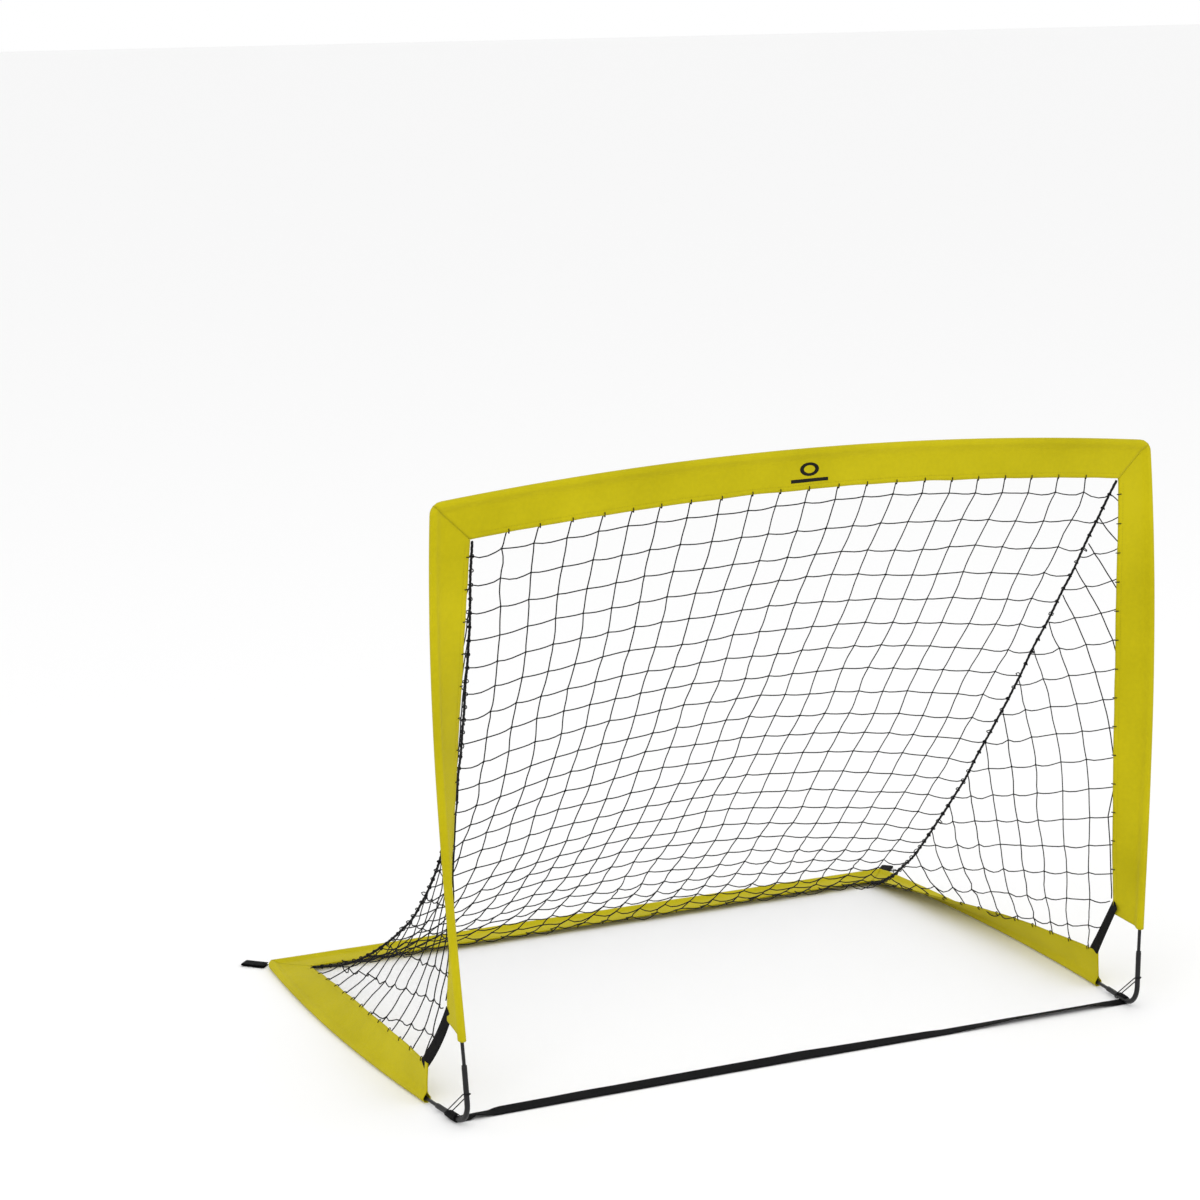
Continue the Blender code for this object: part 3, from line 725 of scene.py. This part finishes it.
def makeBackNet():
    across, down = netLook["acrossCells"], netLook["downCells"]
    grid = [[backNode(i / across, (j + 0.5) / down) for i in range(across + 1)] for j in range(down)]
    cords, knots, grips = [], [], []
    for row in grid:
        cord = []
        for i in range(across):
            cord += cordBetween(row[i], row[i + 1], 2, False)
        cords.append(cord + [row[-1]])
        knots += row
    for i in range(1, across):
        column = [crossbarHemSpot(grid[0][i].x, grips)] + [row[i] for row in grid]
        column.append(rearHemSpot(grid[-1][i].x, grips))
        cord = []
        for j in range(len(column) - 1):
            cord += cordBetween(column[j], column[j + 1], 3, True)
        cords.append(cord + [column[-1]])
    low = [g for g in grips if g[0].z < 0.2]
    high = [g for g in grips if g[0].z >= 0.2]
    bendAtFold(drawNet("back_net", cords, knots))
    return high, low


def sideSurface(side):
    # the ruled surface from the post and the side rail to the rope, as a tree that a ray can hit
    postLow = shareAt(postPath, side, goal["postFoot"] + 0.054 * goal["footSlant"] + 0.012)
    railFront = shareAt(sidePath, side, goal["sideFront"] + 0.012)
    verts, faces, count = [], [], 41
    for k in range(count):
        share = k / (count - 1)
        if share < 0.5:
            t = 0.935 + (postLow - 0.935) * share * 2
            start = sleevePoint("post", side, t, 0.054 - netLook["hemIn"], 0)
        else:
            t = railFront + (0.94 - railFront) * (share * 2 - 1)
            start = sleevePoint("side", side, t, 0.054 - netLook["hemIn"], 0)
        verts += [start.lerp(ropePoint(side, share), u / 12) for u in range(13)]
    for k in range(count - 1):
        for u in range(12):
            faces.append((k * 13 + u, k * 13 + u + 1, k * 13 + u + 14, k * 13 + u + 13))
    return BVHTree.FromPolygons(verts, faces)


def onSurface(tree, side, y, z):
    hit = tree.ray_cast(Vector((side * 2, y, z)), Vector((-side, 0, 0)))[0]
    return hit


def clipped(tree, side, line, low, high):
    # the part of a straight line in side view that lies on the surface
    spots = [low + (high - low) * k / 240 for k in range(241)]
    hits = [s for s in spots if onSurface(tree, side, *line(s)) is not None]
    return (hits[0], hits[-1]) if len(hits) > 3 else None


def makeSideNet(side, word):
    tree, look = sideSurface(side), netLook
    frontY, (lean, curl) = foldAxis.y + 0.02, look["columnLean"]
    rows, knots, cords = [], [], []
    for k in range(look["sideRows"]):
        start = 0.075 + look["cell"] * k
        rows.append((start, look["rowSlope"][0] + (look["rowSlope"][1] - look["rowSlope"][0]) * start / 0.85))
    columns = [-0.345 + look["cell"] * (k + 0.4) for k in range(*look["sideColumns"])]

    def rowAt(row, y):
        return row[0] - row[1] * (y - frontY)

    def columnAt(column, z):
        return column + lean * (z - 0.06) + curl * (z - 0.06) ** 2

    def meeting(row, column):
        y = column
        for _ in range(14):
            y = columnAt(column, rowAt(row, y))
        return y, rowAt(row, y)

    def strung(line, crossings, low, high, down):
        ends = clipped(tree, side, line, low, high)
        if not ends:
            return
        spots = [e for e in sorted(crossings) if ends[0] + 0.008 < e < ends[1] - 0.008]
        points = [onSurface(tree, side, *line(e)) for e in (ends[0], *spots, ends[1])]
        shifted = [p + wander(p, 9, look["shift"] * 0.6, 5) for p in points[1:-1] if p]
        points = [points[0], *shifted, points[-1]]
        cord = []
        for one, two in zip(points, points[1:]):
            cord += cordBetween(one, two, 6 if down else 7, down)
        cords.append(cord + [points[-1]])
        if not down:
            knots.extend(shifted)

    for row in rows:
        strung(lambda y: (y, rowAt(row, y)), [meeting(row, c)[0] for c in columns], -0.45, 0.45, False)
    for column in columns:
        strung(lambda z: (columnAt(column, z), z), [meeting(r, column)[1] for r in rows], 0.02, 0.9, True)
    piece = drawNet(f"{word}_side_net", cords, knots)
    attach(piece, "floor_frame")
    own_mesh(piece)


def makeRope(side, word):
    count = 420
    points = []
    for k in range(count + 1):
        point = ropePoint(side, k / count)
        points.append(point + wander(point, 14, 0.0022 * min(k, count - k, 20) / 20, 8))
    radius = lambda s: netLook["ropeRadius"] * (1 + 0.16 * noise.noise(Vector((s * 60, side, 0))))
    shape = pipe(bmesh.new(), points, radius, 10, Vector((side, 0, 0)), twist=620, ridge=0.16)
    for k in range(1, 48):  # lashings that hold the two nets to the rope
        point = ropePoint(side, k / 48)
        way = (ropePoint(side, k / 48 + 0.004) - point).normalized()
        one = squareTo(Vector((side, 0.3, 0)), way)
        two = way.cross(one)
        wide = netLook["ropeRadius"] + 0.0011
        ring = []
        for n in range(10):
            angle = 2 * math.pi * n / 10
            lift = wide + (0.0045 * max(0, math.cos(angle - 2.2 - k)) ** 3 if k % 5 == 0 else 0)
            ring.append(point + one * (lift * math.cos(angle))
                        + two * (lift * math.sin(angle)) + way * (0.001 * math.sin(angle * 2)))
        sections = []
        for n, spot in enumerate(ring):
            run = (ring[(n + 1) % 10] - ring[n - 1]).normalized()
            first = squareTo(way, run)
            second = run.cross(first)
            sections.append([spot + first * (0.0009 * math.cos(c)) + second * (0.0009 * math.sin(c))
                             for c in (0.3, 1.56, 2.8, 4.07, 5.3)])
        skin(shape, sections, closedPath=True)
    piece = finishPiece(f"{word}_seam_rope", shape, made["netCord"])
    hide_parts(f"{word}_seam_rope")
    bendAtFold(piece)


def makeGrips(name, grips, body):
    shape = bmesh.new()
    for turn in grips:
        pipe(shape, turn, 0.0007, 6, (turn[1] - turn[-2]).normalized())
    piece = finishPiece(name, shape, made["netCord"])
    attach(piece, body)
    return piece


def hemGrips(kind, side, first, last):
    grips, length = [], (last - first) * runs[kind]["length"]
    count = round(length / netLook["cell"])
    for k in range(count + 1):
        t = first + (last - first) * k / count
        way, out = along(runs[kind]["path"], side, t), runs[kind]["hem"](side, t)
        grips.append(hemGrip(sleevePoint(kind, side, t, 0.054 - netLook["hemIn"], 0), out, way.cross(out)))
    return grips


topGrips, rearGrips = makeBackNet()
makeGrips("crossbar_hem_lashing", topGrips, "mouth_frame")
makeGrips("rear_hem_lashing", rearGrips, "floor_frame")
for side, word in sideWords:
    makeSideNet(side, word)
    makeRope(side, word)
    makeGrips(f"{word}_post_hem_lashing", hemGrips("post", side, 0.24, 0.92), "mouth_frame")
    grips = makeGrips(f"{word}_side_hem_lashing", hemGrips("side", side, 0.19, 0.92), "floor_frame")
    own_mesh(grips)
print("nets and ropes ready")

# webbing

strapLook = {"thick": 0.0014, "cornerWide": 0.020, "groundWide": 0.023, "wrap": 0.0056, "wrapAt": 0.0455,
             "tail": 0.022, "pegLong": 0.040, "pegWide": 0.020, "pegSet": 0.0032,
             "rollAt": (0, 0.008, 0.045, 0.50, 0.70, 0.84, 0.96, 1),
             "roll": (0, -0.28, 0.14, 0.20, 0.06, -0.27, -0.30, 0)}


def makeCornerStrap(side, word):
    look = strapLook
    high = shareAt(postPath, side, goal["postFoot"] + 0.054 * goal["footSlant"] + look["cornerWide"] / 2)
    low = shareAt(sidePath, side, goal["sideFront"] + look["cornerWide"] / 2)
    start = postPath(side, high) + postHem(side, high) * 0.053
    end = sidePath(side, low) + sideHem(side, low) * 0.053
    points, wides = [], []
    for k in range(25):
        u = -0.08 + 1.16 * k / 24
        bow = 4 * u * (1 - u)
        points.append(start.lerp(end, u) + Vector((-side * 0.0016 * bow, 0, -0.003 * bow)))
        wides.append((-along(postPath, side, high)).slerp(-along(sidePath, side, low), min(max(u, 0), 1)))
    shape = band(bmesh.new(), points, wides, look["cornerWide"], look["thick"])
    piece = finishPiece(f"{word}_corner_strap", shape, made["webbing"])
    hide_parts(f"{word}_corner_strap")
    bendAtFold(piece)


def makePegLoop(side, word):
    look = strapLook
    outward = Vector((side, 1, 0)).normalized()
    start = sidePath(side, 1) + outward * (0.0063 * math.sqrt(2) + 0.0003)
    low = Vector((start.x, start.y, look["thick"] / 2 + 0.0003))
    up, bend = Vector((0, 0, 1)), look["pegSet"] / 2
    points = [low + up * look["pegSet"] + outward * (look["pegLong"] - bend) * k / 8 for k in range(8)]
    for k in range(9):
        turn = math.pi * (0.5 - k / 8)
        points.append(low + outward * (look["pegLong"] - bend + bend * math.cos(turn))
                      + up * (bend + bend * math.sin(turn)))
    points += [low + outward * (look["pegLong"] - bend) * (1 - k / 8) for k in range(1, 9)]
    shape = band(bmesh.new(), points, [outward.cross(up)] * len(points), look["pegWide"], look["thick"] * 0.9)
    piece = finishPiece(f"{word}_peg_loop", shape, made["webbing"])
    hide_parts(f"{word}_peg_loop")
    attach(piece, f"{word}_peg_loop")


def makeGroundStrap():
    look, ends = strapLook, []
    for side, word in sideWords:
        centre = sidePath(side, shareAt(sidePath, side, look["wrapAt"]))
        points = []
        for k in range(25):
            angle = math.radians(35) + (1.5 * math.pi - math.radians(35)) * k / 24
            points.append(centre + Vector((-side * math.cos(angle), 0, math.sin(angle))) * look["wrap"])
        base = points[-1]
        points += [base - Vector((side * look["tail"] * k / 6, 0, 0)) for k in range(1, 7)]
        wides = [leg(sidePath, side, 0.096)] * 23 + [Vector((0, 1, 0))] * 8
        shape = band(bmesh.new(), points, wides, look["groundWide"], look["thick"])
        piece = finishPiece(f"{word}_strap_wrap", shape, made["webbing"])
        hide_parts(f"{word}_strap_wrap")
        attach(piece, "floor_frame")
        ends.append(points[-1])
    points, wides, half = [], [], look["groundWide"] / 2
    for k in range(121):
        u = k / 120
        lift = 0.0016 * max(0, noise.noise(Vector((u * 9, 2, 0)))) * min(1, 20 * u, 20 * (1 - u))
        roll = np.interp(u, look["rollAt"], look["roll"])
        bow = Vector((0, 0.004 * math.sin(math.pi * u), lift + abs(roll) * half))
        place = ends[0].lerp(ends[1], u) + bow
        place.z = max(place.z, look["thick"] / 2 + half * abs(math.sin(roll)) + 0.0002)
        points.append(place)
        wides.append(Vector((0, math.cos(roll), math.sin(roll))))
    shape = band(bmesh.new(), points, wides, look["groundWide"], look["thick"])
    piece = finishPiece("ground_strap", shape, made["webbing"])
    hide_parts("ground_strap")
    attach(piece, "floor_frame")


makeGroundStrap()
for side, word in sideWords:
    makeCornerStrap(side, word)
    makePegLoop(side, word)
print("webbing ready")

# rods, tubes and ties

frameLook = {"rod": 0.0027, "tube": 0.0041, "bore": 0.0034, "bendFrom": 0.099, "bendTo": 0.127,
             "tie": 0.0009, "tieUp": 0.048, "tieBack": 0.063}


def makePostRod(side, word):
    low = shareAt(postPath, side, 0.040)
    points = [postPath(side, low + (0.985 - low) * (k / 160) ** 1.35) for k in range(161)]
    shape = pipe(bmesh.new(), points, frameLook["rod"], 12, Vector((0, 1, 0)))
    piece = finishPiece(f"{word}_post_rod", shape, made["rodCoating"])
    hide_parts(f"{word}_post_rod", f"{word}_post_rod_foot")
    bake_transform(piece)


def makeFrontElbow(side, word):
    look, corner = frameLook, postPath(side, 0)
    up, back = leg(postPath, side, goal["frontLegs"][0]), leg(sidePath, side, goal["frontLegs"][1])
    half = up.angle(back) / 2
    bend = goal["frontBend"]
    setback, centre = bend / math.tan(half), corner + (up + back).normalized() * (bend / math.sin(half))
    points = [corner + up * (goal["frontLegs"][0] + (setback - goal["frontLegs"][0]) * k / 14)
              for k in range(15)]
    start, stop = corner + up * setback - centre, corner + back * setback - centre
    turn = start.angle(stop)
    for k in range(1, 16):
        u = k / 16
        points.append(centre + (start * math.sin((1 - u) * turn) + stop * math.sin(u * turn))
                      / math.sin(turn))
    points += [corner + back * (setback + (goal["frontLegs"][1] - setback) * k / 14) for k in range(15)]
    total = sum((b - a).length for a, b in zip(points, points[1:]))

    def width(s):
        lip = min(s, total - s)
        return look["tube"] * (0.94 if lip < 0.0004 else 1.06 if lip < 0.004 else 1)

    hint = up.cross(back)
    shape = bmesh.new()
    outer, inner, travelled = [], [], 0
    for i, (point, (one, two)) in enumerate(zip(points, frames(points, hint))):
        travelled += (point - points[i - 1]).length if i else 0
        for rings, r in ((outer, width(travelled)), (inner, look["bore"])):
            rings.append([point + one * (r * math.cos(c)) + two * (r * math.sin(c))
                          for c in (2 * math.pi * k / 16 for k in range(16))])
    skin(shape, outer + inner[::-1], closedPath=True)
    piece = finishPiece(f"{word}_front_elbow", shape, made["tubePaint"])
    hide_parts(f"{word}_front_elbow")
    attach(piece, "floor_frame")


def makeTie(side, word):
    look, corner, points = frameLook, postPath(side, 0), []
    up, back = leg(postPath, side, goal["frontLegs"][0]), leg(sidePath, side, goal["frontLegs"][1])
    wrap = look["tube"] * 1.0 + look["tie"] + 0.0003
    for way, distance, away in ((up, look["tieUp"], -back), (back, look["tieBack"], -up)):
        across = Vector((side, 0, 0)) * (1 if way is up else -1)
        for k in range(13):
            angle = math.pi * (k / 12 - 0.5)
            points.append(corner + way * distance + across * (wrap * math.sin(angle))
                          + away * (wrap * math.cos(angle)))
    closed = []
    for i, point in enumerate(points):
        after = points[(i + 1) % len(points)]
        parts = 16 if (after - point).length > 0.02 else 1
        closed += [point.lerp(after, k / parts) for k in range(parts)]
    rings = []
    for i, point in enumerate(closed):
        run = (closed[(i + 1) % len(closed)] - closed[i - 1]).normalized()
        one = squareTo(up + back, run)
        two = run.cross(one)
        rings.append([point + one * (look["tie"] * math.cos(c)) + two * (look["tie"] * math.sin(c))
                      for c in (2 * math.pi * k / 8 for k in range(8))])
    piece = finishPiece(f"{word}_elbow_tie", skin(bmesh.new(), rings, closedPath=True),
                        made["netCord"])
    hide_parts(f"{word}_elbow_tie")
    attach(piece, "floor_frame")


for side, word in sideWords:
    makePostRod(side, word)
    makeFrontElbow(side, word)
    makeTie(side, word)
for name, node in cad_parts.items():
    if name.endswith("_rod") or name.endswith("_elbow"):
        paint = made["rodCoating"] if name.endswith("_rod") else made["tubePaint"]
        for held in node.material_slots:
            held.material = paint
print("frame ready")

# the printed mark: a plain ring over a plain bar

markLook = {"ringAt": 0.0245, "ringOut": 0.0098, "ringIn": 0.0058, "barAt": 0.0405,
            "barLong": 0.062, "barWide": 0.0050,
            "proud": 0.00012}


def printSpot(x, a):
    t = (1 - x / goal["topHalf"]) / 2
    b = sleeveLook["ply"] + sleeveLook["cloth"] / 2 + markLook["proud"]
    front = sleevePoint("crossbar", 1, t, a, b)
    back = sleevePoint("crossbar", 1, t, a, -b)
    return front if front.y < back.y else back


def printShape(outline):
    # outline gives the inner and the outer line of a closed or an open stripe
    shape = bmesh.new()
    for inner, outer in outline:
        rings = []
        for (x0, a0), (x1, a1) in zip(inner, outer):
            one, two = printSpot(x0, a0), printSpot(x1, a1)
            lift = Vector((0, -0.00008, 0))
            rings.append([one, two, two + lift, one + lift])
        skin(shape, rings, closedPath=len(inner) > 20)
    return shape


def makeMark():
    look = markLook
    angles = [2 * math.pi * k / 48 for k in range(48)]
    ring = [[(1.6 * r * math.cos(c), look["ringAt"] + r * math.sin(c)) for c in angles]
            for r in (look["ringIn"], look["ringOut"])]
    spots = [look["barLong"] * (k / 16 - 0.5) for k in range(17)]
    bar = [[(x, look["barAt"] + s * look["barWide"] / 2) for x in spots] for s in (-1, 1)]
    piece = finishPiece("crossbar_print", printShape([ring, bar]), made["printInk"])
    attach(piece, "mouth_frame")


makeMark()
print("mark ready")
